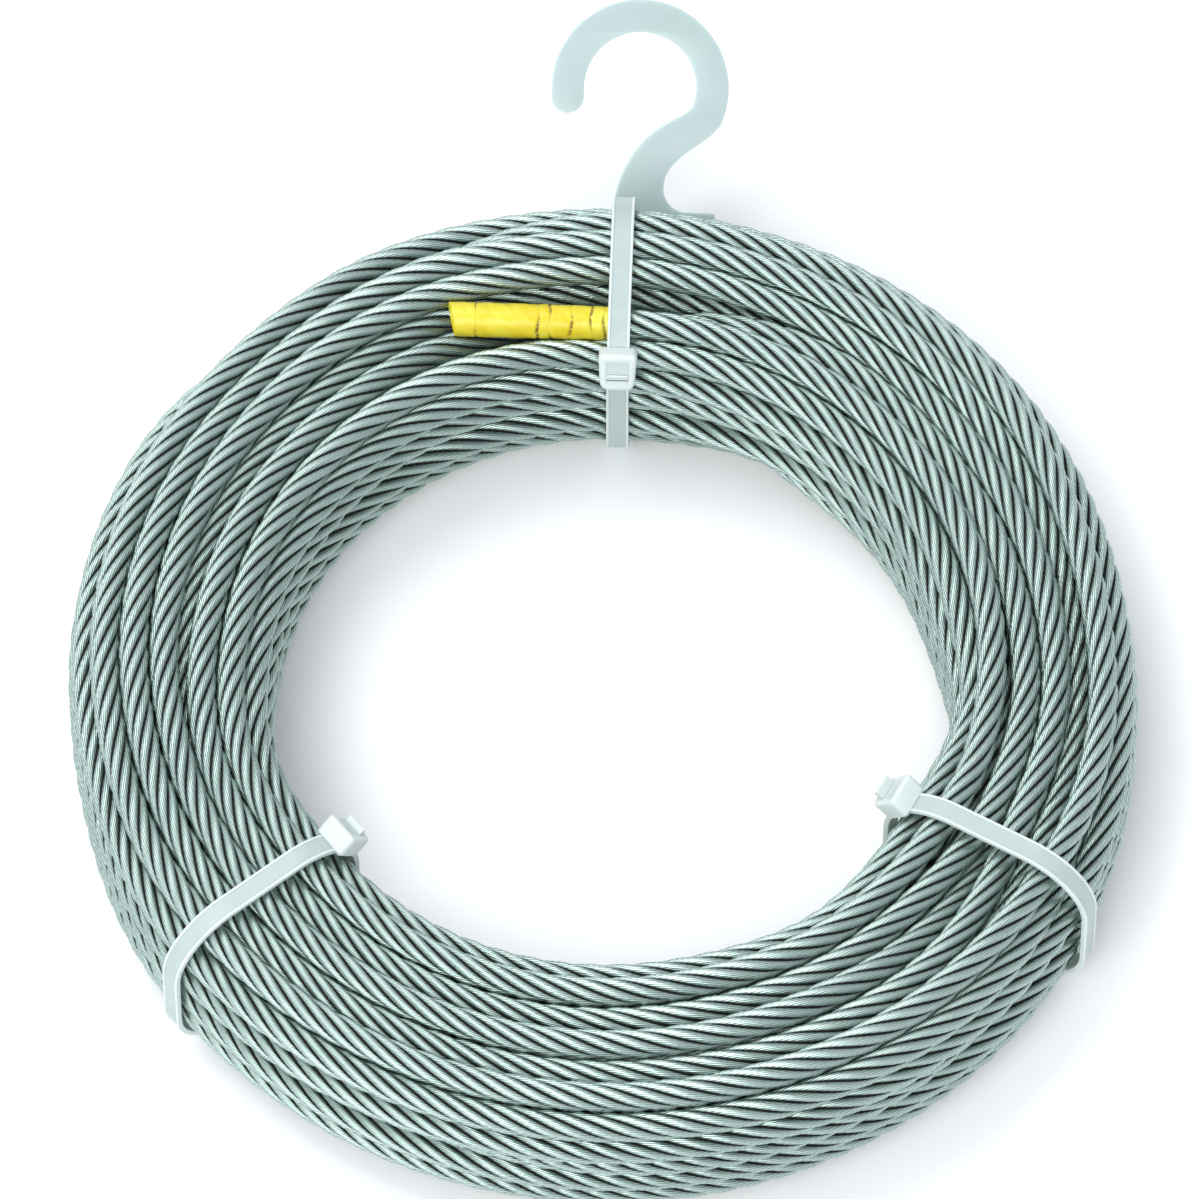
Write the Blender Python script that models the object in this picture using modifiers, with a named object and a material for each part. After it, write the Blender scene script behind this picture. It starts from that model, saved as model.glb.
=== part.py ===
"""Coil of wire rope, held by three cable ties, with a hanging hook and a taped rope end.

Metres, +Z up. The coil lies flat on the undersides of its three ties, at z = 0. The origin is the middle
of the whole footprint, so the coil's own axis stands at -Y of it by half of what the hook sticks out.
A tie's frame has X along its radius, Y along the turns (anticlockwise seen from above) and Z up.
"""
import math

import bmesh
import bpy
from mathutils import Matrix, Vector
from mathutils.geometry import convex_hull_2d, interpolate_bezier

# The coil and its rope
ROPE_DIAMETER = 0.006
COIL_OUTER_DIAMETER = 0.215
COIL_INNER_DIAMETER = 0.130
COIL_HEIGHT = 0.041
CORNER_RADIUS = 0.013
COIL_STEPS = 44
TURN_SPREAD = 60
TURN_FACETS = 3

# The cable ties
TIE_AZIMUTHS = {"top": 88.1, "left": 218.0, "right": 331.0}
STRAP_WIDTH = 0.0045
STRAP_THICKNESS = 0.0012
HEAD_LENGTH = 0.0077
HEAD_WIDTH = 0.0077
HEAD_HEIGHT = 0.005
HEAD_TAPER = 0.68
HEAD_ELEVATION = 38
HEAD_ROUNDING = 0.0006
STUB_LENGTH = 0.004
STUB_SETBACK = 0.001

# The hook, a flat moulding with a slot in its foot for the top tie's strap. A pull is how far a curve's
# handle reaches, as a share of the length that it belongs to.
HOOK_THICKNESS = 0.0022
HOOK_TILT = 29
HOOK_BOW_RADIUS = 0.01465
HOOK_BOW_WIDTH = 0.0063
HOOK_BOW_OFFSET = 0.0034
HOOK_BOW_RISE = 0.0252
HOOK_TIP_DROP = 0.0024
HOOK_STEM_LEFT = -0.0016
HOOK_STEM_RIGHT = 0.0078
HOOK_NECK = (0.0039, -0.0091)
HOOK_FILLET = 0.0056
BOW_OUTER_END = -20
BOW_INNER_END = -12
NECK_SLOPE = 39
SIDE_PULL = 0.36
STEM_PULL = 0.4
NECK_PULL = 0.31
THROAT_PULL = 0.26
FOOT_HEIGHT = 0.0062
FOOT_REACH = 0.0182
FOOT_WALL = 0.0014
BAR_WIDTH = 0.0016
BAR_HEIGHT_ABOVE_FLOOR = 0.017
HOOK_ROUNDING = 0.0004

# The tape round the rope's end
TAPE_THICKNESS = 0.0004
TAPE_LENGTH = 0.0366
TAPE_INSET = 0.0112
ROD_SIDES = 16

# Between pieces that touch
GAP = 0.0003
WELD = 0.000001
CURVE_STEPS = 6

ROPE_RADIUS = ROPE_DIAMETER / 2
OUTER_RADIUS = COIL_OUTER_DIAMETER / 2
INNER_RADIUS = COIL_INNER_DIAMETER / 2
COIL_BASE = STRAP_THICKNESS + GAP
COIL_TOP = COIL_BASE + COIL_HEIGHT
TAPE_RADIUS = ROPE_RADIUS + TAPE_THICKNESS
TAPE_RADIUS_IN_COIL = INNER_RADIUS + TAPE_INSET


def heading(degrees):
    """Unit vector at an angle, anticlockwise from the first axis."""
    angle = math.radians(degrees)
    return Vector((math.cos(angle), math.sin(angle)))


def arc(centre, radius, start, end, steps):
    """Points along an arc, from one angle to the other."""
    return [centre + radius * heading(start + (end - start) * step / steps) for step in range(steps + 1)]


def section_corners():
    """Centre and first angle of each rounded corner of the coil's section, as (radius, height)."""
    inner, outer = INNER_RADIUS + CORNER_RADIUS, OUTER_RADIUS - CORNER_RADIUS
    low, high = COIL_BASE + CORNER_RADIUS, COIL_TOP - CORNER_RADIUS
    spots = [(outer, high), (inner, high), (inner, low), (outer, low)]
    return [(Vector(spot), 90 * quarter) for quarter, spot in enumerate(spots)]


def section_outline(offset):
    """The coil's rounded section, grown by an offset."""
    points = []
    for centre, start in section_corners():
        points += arc(centre, CORNER_RADIUS + offset, start, start + 90, CURVE_STEPS)
    return points


def turns_round_section():
    """Centre and outward angle of each turn of rope that shows on the section, anticlockwise."""
    radius = CORNER_RADIUS - ROPE_RADIUS
    quarter = radius * math.pi / 2
    corners = section_corners()
    runs = [(corners[index - 3][0] - corners[index][0]).length for index in range(4)]
    total = 4 * quarter + sum(runs)
    count = round(total / ROPE_DIAMETER)
    turns = []
    for index in range(count):
        distance = total * index / count
        for (centre, start), run in zip(corners, runs):
            if distance < quarter:
                angle = start + math.degrees(distance / radius)
                turns.append((centre + radius * heading(angle), angle))
                break
            if distance < quarter + run:
                angle = start + 90
                point = centre + radius * heading(angle) + (distance - quarter) * heading(angle + 90)
                turns.append((point, angle))
                break
            distance -= quarter + run
    return turns


def turned_profile():
    """The section with a rounded ridge for each turn, running down its outer side."""
    points = []
    for centre, angle in turns_round_section():
        points += arc(centre, ROPE_RADIUS, angle - TURN_SPREAD, angle + TURN_SPREAD, TURN_FACETS)
    return points[::-1]


def hook_foot_directions():
    """Along the hook's plate, away from the coil, and square to the plate, in a tie's X and Z."""
    return heading(HOOK_TILT), heading(HOOK_TILT + 90)


def bar_centre():
    """Middle of the foot's inner bar, between the coil's side and the strap, in a tie's X and Z."""
    along, across = hook_foot_directions()
    reach = (BAR_WIDTH * along.x + HOOK_THICKNESS * abs(across.x)) / 2
    return Vector((OUTER_RADIUS + GAP + reach, BAR_HEIGHT_ABOVE_FLOOR))


def bar_outline(offset):
    """The section of the foot's inner bar, grown by an offset."""
    along, across = hook_foot_directions()
    half_width, half_thickness = BAR_WIDTH / 2 + offset, HOOK_THICKNESS / 2 + offset
    sides = [(1, 1), (-1, 1), (-1, -1), (1, -1)]
    return [bar_centre() + a * half_width * along + b * half_thickness * across for a, b in sides]


def strap_outline(offset, over_hook):
    """A taut loop round the section, and over the hook's bar where it holds the hook."""
    points = section_outline(offset)
    if over_hook:
        points += bar_outline(offset)
    return [points[index] for index in convex_hull_2d(points)]


def hook_origin():
    """Where the foot's top edge crosses the strap's middle, in a tie's X and Z."""
    along, _ = hook_foot_directions()
    return bar_centre() + (FOOT_HEIGHT - BAR_WIDTH / 2) * along


def hook_frame():
    """The hook's plate in its tie's frame: X across the hook, Y up it, Z square to it."""
    origin = hook_origin()
    tilt = Matrix.Rotation(math.radians(-HOOK_TILT), 4, "Y")
    return Matrix.Translation((origin.x, 0, origin.y)) @ tilt @ Matrix.Rotation(math.radians(-90), 4, "Z")


def hook_overhang():
    """How far the hook's bow reaches past the coil's side, along +Y."""
    frame = Matrix.Rotation(math.radians(TIE_AZIMUTHS["top"]), 4, "Z") @ hook_frame()
    bow = frame @ Vector((HOOK_BOW_OFFSET, HOOK_BOW_RISE, 0))
    rim = (HOOK_BOW_RADIUS + HOOK_BOW_WIDTH / 2) * math.hypot(frame[1][0], frame[1][1])
    return bow.y + rim + HOOK_THICKNESS / 2 * abs(frame[1][2]) - OUTER_RADIUS


def tie_frame(name):
    """A tie's frame in the world."""
    centre = Matrix.Translation((0, -hook_overhang() / 2, 0))
    return centre @ Matrix.Rotation(math.radians(TIE_AZIMUTHS[name]), 4, "Z")


def hook_outline():
    """The hook's flat outline, clockwise from its tip, in X and Y of its plate."""
    bow = Vector((HOOK_BOW_OFFSET, HOOK_BOW_RISE))
    half = HOOK_BOW_WIDTH / 2
    outer, inner = HOOK_BOW_RADIUS + half, HOOK_BOW_RADIUS - half
    tip = bow - Vector((HOOK_BOW_RADIUS, HOOK_TIP_DROP))
    waist = Vector((HOOK_STEM_RIGHT, HOOK_FILLET))
    root = Vector((HOOK_STEM_LEFT, 0))
    neck = bow + Vector(HOOK_NECK)
    neck_handle = NECK_PULL * neck.y * heading(NECK_SLOPE)
    throat_handle = THROAT_PULL * inner * heading(BOW_INNER_END + 90)
    foot_left = -STRAP_WIDTH / 2 - GAP - FOOT_WALL
    right_end, left_end = bow + outer * heading(BOW_OUTER_END), bow + inner * heading(BOW_INNER_END)
    right_side = interpolate_bezier(
        right_end, right_end + SIDE_PULL * outer * heading(BOW_OUTER_END - 90),
        waist + Vector((0, HOOK_FILLET)), waist, CURVE_STEPS + 2)
    stem_side = interpolate_bezier(
        root, root + Vector((0, STEM_PULL * neck.y)), neck - neck_handle, neck, CURVE_STEPS)
    neck_side = interpolate_bezier(
        neck, neck + neck_handle, left_end - throat_handle, left_end, CURVE_STEPS)
    points = arc(tip, half, 0, -180, CURVE_STEPS)
    points += arc(bow, outer, 180, BOW_OUTER_END, 3 * CURVE_STEPS)
    points += right_side[1:]
    points += arc(Vector((waist.x + HOOK_FILLET, HOOK_FILLET)), HOOK_FILLET, 180, 270, CURVE_STEPS)[1:]
    points += [Vector((FOOT_REACH, 0)), Vector((FOOT_REACH, -FOOT_HEIGHT))]
    points += [Vector((foot_left, -FOOT_HEIGHT)), Vector((foot_left, 0))]
    points += stem_side
    points += neck_side[1:]
    points += arc(bow, inner, BOW_INNER_END, 180, 3 * CURVE_STEPS)[1:]
    return points


def tape_height():
    """Height of the taped end's middle, where it just meets the coil's rounded top from inside."""
    centre, _ = section_corners()[1]
    beside = min(TAPE_RADIUS_IN_COIL - centre.x, 0)
    return centre.y + math.sqrt((CORNER_RADIUS - TAPE_RADIUS) ** 2 - beside ** 2)


def tape_frame():
    """The taped end's middle in the top tie's frame, with Z along the rope."""
    middle = (TAPE_LENGTH - STRAP_WIDTH) / 2
    place = Matrix.Translation((TAPE_RADIUS_IN_COIL, middle, tape_height()))
    return tie_frame("top") @ place @ Matrix.Rotation(math.radians(90), 4, "X")


def clear_scene():
    for item in list(bpy.data.objects):
        bpy.data.objects.remove(item)


def new_collection(name):
    collection = bpy.data.collections.new(name)
    bpy.context.scene.collection.children.link(collection)
    return collection


def new_material(name, colour, roughness, metallic):
    material = bpy.data.materials.new(name)
    material.use_nodes = True
    shader = material.node_tree.nodes["Principled BSDF"]
    shader.inputs["Base Color"].default_value = (*colour, 1)
    shader.inputs["Roughness"].default_value = roughness
    shader.inputs["Metallic"].default_value = metallic
    return material


def add_object(name, mesh, matrix, collection, material=None):
    """An object for a mesh, shaded smooth except across sharp edges."""
    item = bpy.data.objects.new(name, mesh)
    item.matrix_world = matrix
    collection.objects.link(item)
    mesh.shade_smooth()
    mesh.set_sharp_from_angle(angle=math.radians(40))
    if material:
        mesh.materials.append(material)
    return item


def add_cutter(name, mesh, matrix, collection):
    """A hidden object that is cut out of a piece or joined to it."""
    item = add_object(name, mesh, matrix, collection)
    item.hide_render = True
    item.display_type = "WIRE"
    return item


def combine(item, other, operation):
    modifier = item.modifiers.new(other.name, "BOOLEAN")
    modifier.operation = operation
    modifier.object = other


def bevel(item, width):
    modifier = item.modifiers.new("rounded edges", "BEVEL")
    modifier.width = width
    modifier.segments = 1
    modifier.limit_method = "ANGLE"


def mesh_from(name, build):
    """A mesh that a function fills through bmesh."""
    shape = bmesh.new()
    build(shape)
    mesh = bpy.data.meshes.new(name)
    shape.to_mesh(mesh)
    shape.free()
    return mesh


def flat_mesh(name, outlines, thickness):
    """A flat plate from closed outlines in X and Y, of a thickness along Z."""
    curve = bpy.data.curves.new(name, "CURVE")
    curve.dimensions = "2D"
    curve.fill_mode = "BOTH"
    curve.extrude = thickness / 2
    for outline in outlines:
        spline = curve.splines.new("POLY")
        spline.points.add(len(outline) - 1)
        spline.use_cyclic_u = True
        for point, place in zip(spline.points, outline):
            point.co = (place.x, place.y, 0, 1)
    holder = bpy.data.objects.new(name, curve)
    bpy.context.scene.collection.objects.link(holder)
    evaluated = holder.evaluated_get(bpy.context.evaluated_depsgraph_get())
    filled = bpy.data.meshes.new_from_object(evaluated)
    bpy.data.objects.remove(holder)

    def weld(shape):
        shape.from_mesh(filled)
        bmesh.ops.remove_doubles(shape, verts=shape.verts, dist=WELD)
        bmesh.ops.recalc_face_normals(shape, faces=shape.faces)

    return mesh_from(name, weld)


def box_mesh(name, length, width, height, taper):
    """A box whose -X end is narrower by the taper."""
    def build(shape):
        bmesh.ops.create_cube(shape, size=1)
        for corner in shape.verts:
            side = taper if corner.co.x < 0 else 1
            corner.co = (corner.co.x * length, corner.co.y * width * side, corner.co.z * height)

    return mesh_from(name, build)


def rod_mesh(name, radius, length):
    """A closed round rod along Z."""
    def build(shape):
        bmesh.ops.create_cone(
            shape, cap_ends=True, segments=ROD_SIDES, radius1=radius, radius2=radius, depth=length)

    return mesh_from(name, build)


def make_coil(parts, cutters):
    """The wound rope as one turned solid, with a trough, open at the top, for its taped end."""
    profile = turned_profile()

    def build(shape):
        ring = [shape.verts.new((point.x, 0, point.y)) for point in profile]
        for index, corner in enumerate(ring):
            shape.edges.new((ring[index - 1], corner))

    steel = new_material("galvanised_steel_rope", (0.42, 0.47, 0.45), 0.38, 0.9)
    centre = Matrix.Translation((0, -hook_overhang() / 2, 0))
    coil = add_object("wire_rope_coil", mesh_from("wire_rope_coil", build), centre, parts, steel)
    screw = coil.modifiers.new("turned", "SCREW")
    screw.steps = COIL_STEPS
    screw.render_steps = COIL_STEPS
    screw.use_merge_vertices = True
    screw.merge_threshold = WELD * 10
    half_width, length = TAPE_RADIUS + GAP, TAPE_LENGTH + 2 * GAP
    bed = rod_mesh("trough_bed", half_width, length)
    combine(coil, add_cutter("trough_bed", bed, tape_frame(), cutters), "DIFFERENCE")
    mouth = box_mesh("trough_mouth", 2 * half_width, 2 * half_width, length, 1)
    above = tape_frame() @ Matrix.Translation((0, half_width, 0))
    combine(coil, add_cutter("trough_mouth", mouth, above, cutters), "DIFFERENCE")


def make_tie(name, parts, cutters, nylon):
    """A nylon tie: strap, head and the cut stub of its tail, moulded as one."""
    over_hook = name == "top"
    upright = Matrix.Rotation(math.radians(90), 4, "X")
    loops = [strap_outline(GAP + STRAP_THICKNESS, over_hook), strap_outline(GAP, over_hook)]
    strap = flat_mesh("cable_tie_" + name, loops, STRAP_WIDTH)
    tie = add_object("cable_tie_" + name, strap, tie_frame(name) @ upright, parts, nylon)
    corner, _ = section_corners()[1]
    seat = Matrix.Translation((corner.x, 0, corner.y))
    seat = seat @ Matrix.Rotation(math.radians(HEAD_ELEVATION - 90), 4, "Y")
    middle = CORNER_RADIUS + GAP + HEAD_HEIGHT / 2
    head = box_mesh("head_" + name, HEAD_LENGTH, HEAD_WIDTH, HEAD_HEIGHT, HEAD_TAPER)
    head = add_cutter("head_" + name, head, tie_frame(name) @ seat @ Matrix.Translation((0, 0, middle)), cutters)
    bevel(head, HEAD_ROUNDING)
    combine(tie, head, "UNION")
    stub = box_mesh("stub_" + name, STRAP_THICKNESS, STRAP_WIDTH, HEAD_HEIGHT + STUB_LENGTH, 1)
    lift = Matrix.Translation((-STUB_SETBACK, 0, middle + STUB_LENGTH / 2 + HEAD_HEIGHT / 4))
    combine(tie, add_cutter("stub_" + name, stub, tie_frame(name) @ seat @ lift, cutters), "UNION")


def make_hook(parts, cutters):
    """The hook, with a passage for the strap cut through its foot."""
    plastic = new_material("milky_hook_plastic", (0.62, 0.74, 0.72), 0.35, 0.0)
    plate = flat_mesh("hang_hook", [hook_outline()], HOOK_THICKNESS)
    hook = add_object("hang_hook", plate, tie_frame("top") @ hook_frame(), parts, plastic)
    bevel(hook, HOOK_ROUNDING)
    loops = [strap_outline(2 * GAP + STRAP_THICKNESS, True), strap_outline(0, True)]
    passage = flat_mesh("strap_passage", loops, STRAP_WIDTH + 2 * GAP)
    upright = Matrix.Rotation(math.radians(90), 4, "X")
    combine(hook, add_cutter("strap_passage", passage, tie_frame("top") @ upright, cutters), "DIFFERENCE")


def make_tape(parts):
    """The rope's last stretch under its wrap of tape."""
    tape = new_material("yellow_tape", (0.82, 0.68, 0.06), 0.4, 0.0)
    add_object("end_tape", rod_mesh("end_tape", TAPE_RADIUS, TAPE_LENGTH), tape_frame(), parts, tape)


def main():
    clear_scene()
    parts = new_collection("coil_of_wire_rope")
    cutters = new_collection("cutters")
    nylon = new_material("white_nylon", (0.80, 0.85, 0.86), 0.4, 0.0)
    make_coil(parts, cutters)
    for name in TIE_AZIMUTHS:
        make_tie(name, parts, cutters, nylon)
    make_hook(parts, cutters)
    make_tape(parts)


main()
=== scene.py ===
"""The looks of a coil of stranded wire rope with its cable ties, hanging hook and taped end.

Metres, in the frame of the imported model: the coil lies flat on z = 0 and its hook points along +Y.
"""
import math

import bmesh
import bpy
import numpy as np
from mathutils import Matrix, Vector
from mathutils.geometry import convex_hull_2d, interpolate_bezier


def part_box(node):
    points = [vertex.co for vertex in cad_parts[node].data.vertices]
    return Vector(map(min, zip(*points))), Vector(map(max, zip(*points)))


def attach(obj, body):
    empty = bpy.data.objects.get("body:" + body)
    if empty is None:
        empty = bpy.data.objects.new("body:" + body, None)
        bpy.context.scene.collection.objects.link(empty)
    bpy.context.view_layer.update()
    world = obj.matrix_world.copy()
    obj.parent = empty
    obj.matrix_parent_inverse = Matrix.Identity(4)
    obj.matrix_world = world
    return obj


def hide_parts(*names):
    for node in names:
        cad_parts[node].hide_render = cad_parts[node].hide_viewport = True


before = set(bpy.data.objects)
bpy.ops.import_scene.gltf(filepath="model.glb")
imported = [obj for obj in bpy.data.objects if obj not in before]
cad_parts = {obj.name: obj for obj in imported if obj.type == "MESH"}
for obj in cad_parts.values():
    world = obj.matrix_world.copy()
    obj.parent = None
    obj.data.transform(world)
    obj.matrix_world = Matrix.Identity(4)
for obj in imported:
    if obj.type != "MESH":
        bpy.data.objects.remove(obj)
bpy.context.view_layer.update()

# The camera
# It looks down on the coil from the side away from its hook, through a long lens from far off, because
# nothing in the photograph converges. A pixel there is 0.2 mm at the coil, and AXIS_PIXEL is where the
# coil's own axis meets the floor.
PHOTO_SIDE = 1199
PIXEL = 0.0002
AXIS_PIXEL = (606.8, 750.6)
LOOKING_DOWN = math.radians(61)
CAMERA_DISTANCE = 3.0

coil_low, coil_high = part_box("wire_rope_coil")
coil_foot = Vector(((coil_low.x + coil_high.x) / 2, (coil_low.y + coil_high.y) / 2, 0))
picture_up = Vector((0, math.sin(LOOKING_DOWN), math.cos(LOOKING_DOWN)))
to_camera = Vector((0, -math.cos(LOOKING_DOWN), math.sin(LOOKING_DOWN)))
picture_middle = coil_foot + PIXEL * (PHOTO_SIDE / 2 - AXIS_PIXEL[0]) * Vector((1, 0, 0))
picture_middle += PIXEL * (AXIS_PIXEL[1] - PHOTO_SIDE / 2) * picture_up
lens = bpy.data.cameras.new("photo_view")
lens.lens = lens.sensor_width * CAMERA_DISTANCE / (PHOTO_SIDE * PIXEL)
camera = bpy.data.objects.new("photo_view", lens)
camera.location = picture_middle + CAMERA_DISTANCE * to_camera
camera.rotation_euler = (math.pi / 2 - LOOKING_DOWN, 0, 0)
bpy.context.scene.collection.objects.link(camera)
bpy.context.scene.camera = camera

# The wire rope
# One length of 6 mm steel rope: six strands of galvanised wire laid right-handed round a greased core. It
# is wound level by level on a former, taken off and tied, so its turns have slipped and nested unevenly.
ROPE_DIAMETER = 0.006
STRANDS = 6
STRAND_RADIUS = 0.00096
CORE_RADIUS = 0.00218
LAY = 0.036
COIL_INNER_RADIUS = 0.065
COIL_CORNER_RADIUS = 0.013
COIL_SKIN = 0.00005
LAYERS = 7
LAYER_PITCH = 0.0054
LAYER_SPARE = 0.15
STATIONS = 72
FINE_POINTS_A_PLACE = 10
TAPED_AZIMUTH = 88.1
TAPED_RADIUS = 0.0762
TAPED_HEIGHT = 0.03893
TAPED_REACH = 0.0324
TAPED_HALF_WIDTH = 0.0036
HELD_TURN = 0.36
SLIDE_IN_TURN = 0.0066
TAPED_ROOM = 0.0065
END_AZIMUTH = 326
WHOLE_TURNS = 37
# Where the coil lies slack: an azimuth in degrees, how far that spreads, and by how much
OUTER_SLACK = ((12, 30, 0.0022), (68, 26, 0.0009), (192, 12, 0.001))
INNER_SLACK = ((353, 13, 0.0036), (306, 14, 0.0019), (196, 13, 0.002))
EVENLY_LAID = ((180, 40), (100, 30))
SUNK_TURNS = (10, 23)
SUNK_BY = 0.0024
# A turn's number, an azimuth and its spread, and a step in radius and height for each round of settling
EASED_TURNS = ((11, 98, 14, (0, 0.00012)), (37, 95, 22, (-0.0002, 0)))
KNOT_EVERY = 18
TURN_ROOM = 1.008
PUSH_APART = 0.45


def nearness(azimuth, centre, spread):
    """From 1 at a centre to 0 away from it, all in degrees round the coil."""
    apart = (azimuth - centre + 180) % 360 - 180
    return np.exp(-((apart / spread) ** 2))


rope_radius = ROPE_DIAMETER / 2
end_turn = math.degrees(math.atan2(TAPED_REACH, TAPED_RADIUS))
turns_wound = WHOLE_TURNS + ((TAPED_AZIMUTH + end_turn - END_AZIMUTH) % 360) / 360
place_count = round(turns_wound * STATIONS)
azimuths = TAPED_AZIMUTH + end_turn - 360 / STATIONS * np.arange(place_count)
# The coil is a little slack between its ties, most of all at the right of the picture
outer_slack, inner_slack = (
    sum(give * nearness(azimuths, azimuth, spread) for azimuth, spread, give in slack)
    for slack in (OUTER_SLACK, INNER_SLACK))
inner_side = COIL_INNER_RADIUS + COIL_SKIN + rope_radius + inner_slack
outer_side = coil_high.x - COIL_SKIN - rope_radius - outer_slack
bottom = coil_low.z + COIL_SKIN + rope_radius
top = coil_high.z - COIL_SKIN - rope_radius
corner = COIL_CORNER_RADIUS - rope_radius
# Two turns on the top have sunk between their neighbours, except in the coil's far and left parts
evenly_laid = np.maximum(*(nearness(azimuths, azimuth, spread) for azimuth, spread in EVENLY_LAID))
has_sunk = np.isin(np.arange(place_count) // STATIONS, SUNK_TURNS)
top_side = top - SUNK_BY * has_sunk * (1 - evenly_laid)
# The turn beside the taped end is eased upwards there, and the rope's last turn inwards
eased = np.zeros((place_count, 2))
for turn, azimuth, spread, ease in EASED_TURNS:
    on_turn = np.arange(place_count) // STATIONS == turn
    eased += (nearness(azimuths, azimuth, spread) * on_turn)[:, None] * ease


def first_layer():
    """Radius and height of the rope from its taped end, over the coil's inner edge and down its bore."""
    centre = np.array([COIL_INNER_RADIUS + COIL_CORNER_RADIUS, coil_high.z - COIL_CORNER_RADIUS])
    centre -= COIL_SKIN
    taped = math.atan2(TAPED_HEIGHT - centre[1], TAPED_RADIUS - centre[0])
    over_edge = (math.pi - taped) * corner
    down_bore = centre[1] - (bottom + corner)
    later = (over_edge + down_bore - SLIDE_IN_TURN) / LAYER_PITCH
    count = round((1 + later) * STATIONS)
    slid = np.interp(
        np.arange(count) / STATIONS,
        [0, HELD_TURN, 1, 1 + later], [0, 0, SLIDE_IN_TURN, over_edge + down_bore])
    angle = np.minimum(taped + slid / corner, math.pi)
    drop = np.maximum(slid - over_edge, 0)
    return np.column_stack([centre[0] + corner * np.cos(angle), centre[1] + corner * np.sin(angle) - drop])


def level_winding():
    """Radius and height of each place along the rope, wound in layers from the bore outwards."""
    middle, half_height = (bottom + top) / 2, (top - bottom) / 2
    widest = coil_high.x - COIL_SKIN - rope_radius
    narrowest = COIL_INNER_RADIUS + COIL_SKIN + rope_radius
    layers = [first_layer()]
    for layer in range(1, LAYERS):
        radius = narrowest + (widest - narrowest) * layer / (LAYERS - 1)
        inset = min(radius - narrowest, widest - radius, corner)
        reach = half_height - corner + math.sqrt(corner ** 2 - (corner - inset) ** 2)
        stop = reach - (TAPED_ROOM if layer == 1 else 0)
        count = round(((reach + stop) / LAYER_PITCH + LAYER_SPARE) * STATIONS)
        heights = middle - np.linspace(reach, -stop, count) * (-1) ** (layer + 1)
        layers.append(np.column_stack([np.full(count, radius), heights]))
    return np.concatenate(layers)[:place_count]


def taped_start():
    """The places of the rope's taped end, straight under the top tie, and of the turn that it comes from."""
    turned = azimuths[:round(HELD_TURN * STATIONS)] - TAPED_AZIMUTH
    radii = TAPED_RADIUS / np.cos(np.radians(np.maximum(turned, 0)))
    return np.column_stack([radii, np.full(len(radii), TAPED_HEIGHT)]), turned > 0


def keep_inside(places):
    """Bring the places back within the coil's rounded section."""
    places[:, 0] = np.clip(places[:, 0], inner_side, outer_side)
    places[:, 1] = np.clip(places[:, 1], bottom, top_side)
    for radius, across in ((inner_side + corner, -1), (outer_side - corner, 1)):
        for height, up in ((bottom + corner, -1), (top_side - corner, 1)):
            offset = places - np.column_stack([radius, np.broadcast_to(height, place_count)])
            distance = np.linalg.norm(offset, axis=1)
            outside = (offset[:, 0] * across > 0) & (offset[:, 1] * up > 0) & (distance > corner)
            places[outside] += offset[outside] * (corner / distance[outside] - 1)[:, None]
    return places


def depth_in_coil(places):
    """How far each place lies in from the surface that the outermost turns' centres could reach."""
    across = np.minimum(places[:, 0] - inner_side, outer_side - places[:, 0])
    up = np.minimum(places[:, 1] - bottom, top - places[:, 1])
    rounded = corner - np.hypot(corner - across, corner - up)
    return np.where((across < corner) & (up < corner), rounded, np.minimum(across, up))


def keep_apart(places, half_widths):
    """Push turns that overlap apart, at each station. Stand-ins far off complete the last turn."""
    turns = -(-place_count // STATIONS)
    spare = turns * STATIONS - place_count
    grid = np.concatenate([places, 1 + np.arange(2 * spare).reshape(-1, 2)]).reshape(turns, STATIONS, 2)
    widths = np.concatenate([half_widths, np.zeros(spare)]).reshape(turns, STATIONS)
    offset = grid[:, None] - grid[None]
    distance = np.maximum(np.linalg.norm(offset, axis=3), 1e-9)
    overlap = np.maximum(widths[:, None] + widths[None] - distance, 0)
    overlap[range(turns), range(turns)] = 0
    push = (offset * (PUSH_APART * overlap / distance)[..., None]).sum(1)
    return (grid + push).reshape(-1, 2)[:place_count]


def settle(places, rounds=320, seed=10, wander=0.0015, stiffness=0.4, swell=0.00006):
    """Let the wound rope slip: it stays springy along its length, apart from itself and in the section."""
    chance = np.random.default_rng(seed)
    knots = chance.normal(0, wander, (place_count // KNOT_EVERY + 2, 2))
    at = np.arange(place_count) / KNOT_EVERY
    places += np.column_stack([np.interp(at, np.arange(len(knots)), knots[:, axis]) for axis in (0, 1)])
    start, taped = taped_start()
    half_widths = np.full(place_count, TURN_ROOM * rope_radius)
    half_widths[:len(start)][taped] = TAPED_HALF_WIDTH
    middle = np.column_stack([(inner_side + outer_side) / 2, np.full(place_count, (bottom + top) / 2)])
    size = np.column_stack([outer_side - inner_side, np.full(place_count, top - bottom)]) / 2
    for _ in range(rounds):
        places[1:-1] += stiffness * ((places[:-2] + places[2:]) / 2 - places[1:-1])
        places[2:-2] += stiffness / 12 * (
            4 * (places[1:-3] + places[3:-1]) - places[:-4] - places[4:] - 6 * places[2:-2])
        outermost = depth_in_coil(places) < ROPE_DIAMETER
        places += swell * outermost[:, None] * (places - middle) / size + eased
        for _ in range(2):
            places = keep_inside(keep_apart(places, half_widths))
            places[:len(start)] = start
    return places


def between(values, at):
    """A smooth curve through values one apart, read at other places along them."""
    first = np.clip(at.astype(int), 0, len(values) - 2)
    share = (at - first)[:, None]
    before, start = values[np.maximum(first - 1, 0)], values[first]
    end, after = values[first + 1], values[np.minimum(first + 2, len(values) - 1)]
    return start + share / 2 * (end - before + share * (
        2 * before - 5 * start + 4 * end - after + share * (3 * (start - end) + after - before)))


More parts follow.
